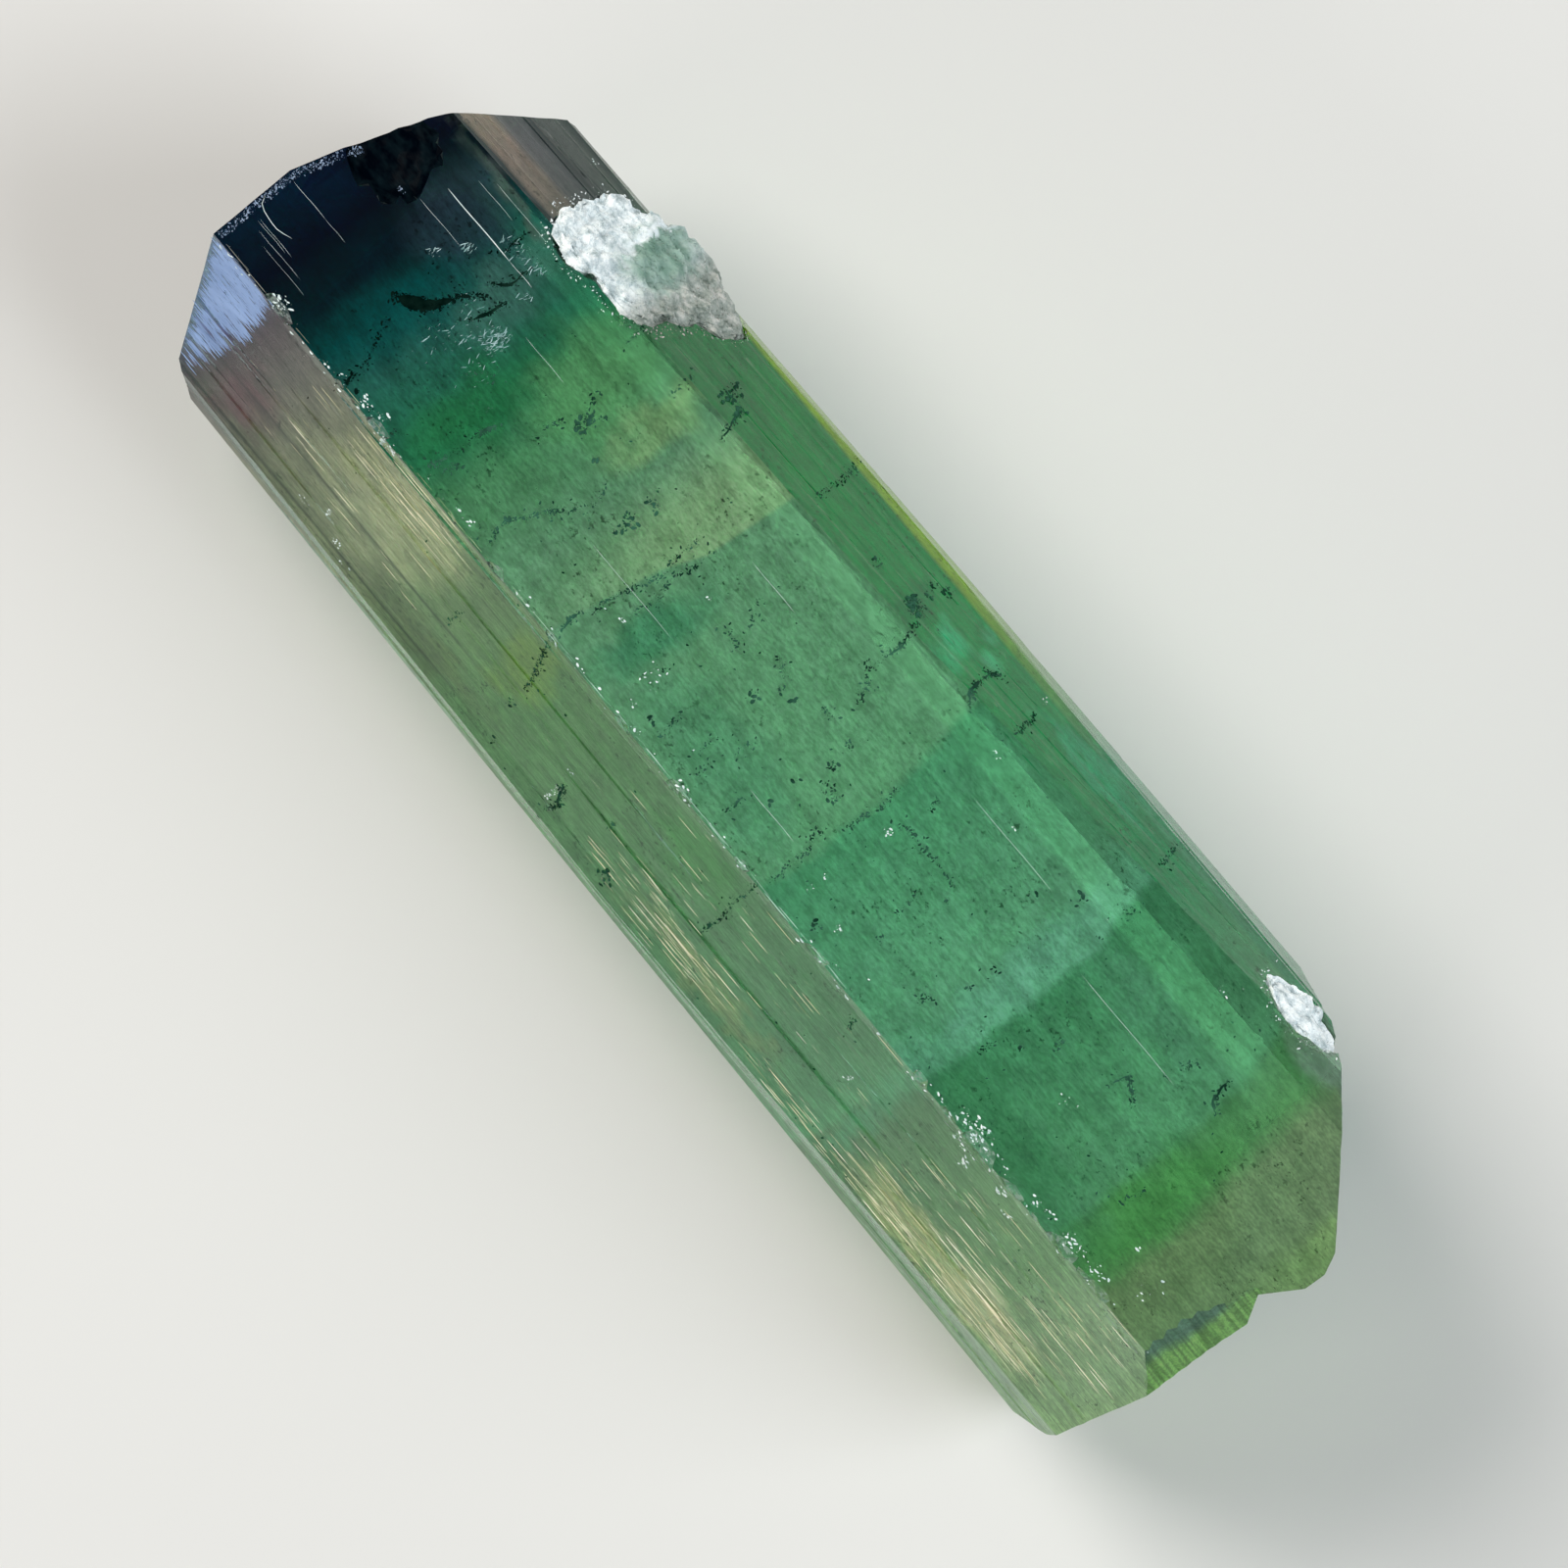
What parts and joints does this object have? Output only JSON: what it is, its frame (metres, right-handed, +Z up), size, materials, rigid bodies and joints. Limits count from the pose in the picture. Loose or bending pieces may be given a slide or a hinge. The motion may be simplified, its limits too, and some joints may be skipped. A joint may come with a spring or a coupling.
{
  "type": "tourmaline crystal",
  "caption": "Striated prismatic green tourmaline crystal lying on its broad back face, with a dark end, a pale stepped end and white feldspar crusts.",
  "frame": {"origin": "under the middle of the crystal's box, on the surface it lies on", "axes": "+X along the crystal towards its dark end, +Y towards its left striated face, +Z up"},
  "size_m": [0.04, 0.0136, 0.0109],
  "materials": {
    "tourmaline": "clear to cloudy green crystal, near black at one end and pale yellow-green at the other, with lengthwise striae",
    "feldspar": "white, sugary, matt crust"
  },
  "bodies": {
    "root": {"crystal": "tourmaline", "feldspar_crust_upper": "feldspar", "feldspar_crust_lower": "feldspar"}
  },
  "joints": []
}
